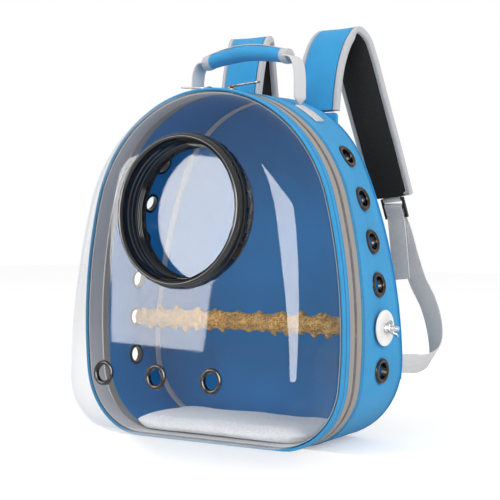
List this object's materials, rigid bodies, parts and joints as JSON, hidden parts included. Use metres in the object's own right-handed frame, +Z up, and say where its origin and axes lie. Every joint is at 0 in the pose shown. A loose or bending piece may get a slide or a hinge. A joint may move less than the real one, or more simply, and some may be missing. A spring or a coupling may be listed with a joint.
{
  "type": "bird travel carrier",
  "caption": "Backpack-style bird carrier: fabric body with a clear bubble door zipped round the arch, a round porthole, a screw-fixed perch, vent grommets, a carry handle and shoulder straps.",
  "frame": {"origin": "middle of the flat base, in the plane it stands on", "axes": "+Z up; -Y out of the clear front door; +X to the carrier's own left as worn, the side of the perch's wing nut"},
  "size_m": [0.4004, 0.3579, 0.5082],
  "materials": {
    "blue_fabric": "woven, matte",
    "grey_binding": "ribbed tape, matte",
    "zipper_tape": "woven tape, matte",
    "grey_webbing": "woven webbing, matte",
    "black_mesh": "air mesh, matte",
    "board": "matte",
    "white_pad": "soft pile, matte",
    "zipper_teeth": "satin",
    "grommet_metal": "gunmetal, glossy",
    "zipper_metal": "gunmetal, glossy",
    "perch_grit": "rough grit",
    "steel": "satin",
    "white_plastic": "glossy",
    "clear_plastic": "clear, glossy",
    "black_gloss": "glossy",
    "black_plastic": "satin"
  },
  "bodies": {
    "body_shell": {"gusset": "blue_fabric", "back_panel": "blue_fabric", "back_pads": "black_mesh", "base_board": "board", "floor_pad": "white_pad", "rear_seam_binding": "grey_binding", "body_zipper_tape": "zipper_tape", "body_zipper_teeth": "zipper_teeth", "side_grommets_left": "grommet_metal", "side_grommets_right": "grommet_metal", "hinge_strip": "blue_fabric", "hinge_tape": "grey_binding", "perch": "perch_grit", "perch_bolt": "steel", "perch_inner_washer": "white_plastic", "perch_outer_washer": "white_plastic", "handle_tabs": "grey_webbing", "strap_roots": "blue_fabric", "strap_webbing_left": "grey_webbing", "strap_anchor_left": "blue_fabric", "strap_webbing_right": "grey_webbing", "strap_anchor_right": "blue_fabric"},
    "door": {"door_band": "blue_fabric", "door_inner_tape": "grey_binding", "clear_shell": "clear_plastic", "door_zipper_tape": "zipper_tape", "door_zipper_teeth": "zipper_teeth", "porthole_ring": "black_gloss", "porthole_clamp": "black_gloss", "porthole_lens": "clear_plastic", "front_grommets": "grommet_metal"},
    "zip_slider_left": {"slider_left": "zipper_metal"},
    "zip_slider_right": {"slider_right": "zipper_metal"},
    "zip_pull_left": {"pull_tab_left": "zipper_metal"},
    "zip_pull_right": {"pull_tab_right": "zipper_metal"},
    "perch_wing_nut": {"wing_nut": "steel"},
    "carry_handle": {"handle_grip": "blue_fabric", "handle_legs": "grey_webbing"},
    "strap_left": {"strap_skin_left": "blue_fabric", "strap_pad_left": "black_mesh", "strap_binding_left": "grey_binding", "strap_loop_left": "grey_binding"},
    "strap_right": {"strap_skin_right": "blue_fabric", "strap_pad_right": "black_mesh", "strap_binding_right": "grey_binding", "strap_loop_right": "grey_binding"},
    "strap_adjuster_left": {"adjuster_left": "black_plastic"},
    "strap_adjuster_right": {"adjuster_right": "black_plastic"}
  },
  "joints": [
    {"name": "door_hinge", "type": "hinge", "parent": "body_shell", "child": "door", "pos_m": [0, -0.0445, 0], "axis": [1, 0, 0], "range_deg": [0, 90]},
    {"name": "zip_slide_right", "type": "hinge", "parent": "body_shell", "child": "zip_slider_right", "pos_m": [0, -0.0445, 0.244], "axis": [0, 1, 0], "range_deg": [0, 67]},
    {"name": "zip_slide_left", "type": "hinge", "parent": "body_shell", "child": "zip_slider_left", "pos_m": [0, -0.0445, 0.244], "axis": [0, -1, 0], "range_deg": [0, 67]},
    {"name": "zip_pull_right_swing", "type": "hinge", "parent": "zip_slider_right", "child": "zip_pull_right", "pos_m": [0.01574, -0.0445, 0.42391], "axis": [0, -1, 0], "range_deg": [0, 110]},
    {"name": "zip_pull_left_swing", "type": "hinge", "parent": "zip_slider_left", "child": "zip_pull_left", "pos_m": [-0.01574, -0.0445, 0.42391], "axis": [0, 1, 0], "range_deg": [0, 110]},
    {"name": "wing_nut_spin", "type": "hinge", "parent": "body_shell", "child": "perch_wing_nut", "pos_m": [0.19, 0.01765, 0.139], "axis": [1, 0, 0], "continuous": true},
    {"name": "handle_swing", "type": "hinge", "parent": "body_shell", "child": "carry_handle", "pos_m": [0, 0.01265, 0.40284], "axis": [1, 0, 0], "range_deg": [-25, 25]},
    {"name": "strap_right_swing", "type": "hinge", "parent": "body_shell", "child": "strap_right", "pos_m": [0.06, 0.07795, 0.399], "axis": [-1, 0, 0], "range_deg": [-10, 15], "deforming": ["strap_webbing_right"]},
    {"name": "strap_left_swing", "type": "hinge", "parent": "body_shell", "child": "strap_left", "pos_m": [-0.06, 0.07795, 0.399], "axis": [-1, 0, 0], "range_deg": [-10, 15], "deforming": ["strap_webbing_left"]},
    {"name": "adjuster_right_tilt", "type": "hinge", "parent": "strap_right", "child": "strap_adjuster_right", "pos_m": [0.0974, 0.20528, 0.29314], "axis": [0.9947, 0, 0.1029], "range_deg": [-20, 20]},
    {"name": "adjuster_left_tilt", "type": "hinge", "parent": "strap_left", "child": "strap_adjuster_left", "pos_m": [-0.0974, 0.20528, 0.29314], "axis": [0.9947, 0, -0.1029], "range_deg": [-20, 20]}
  ]
}
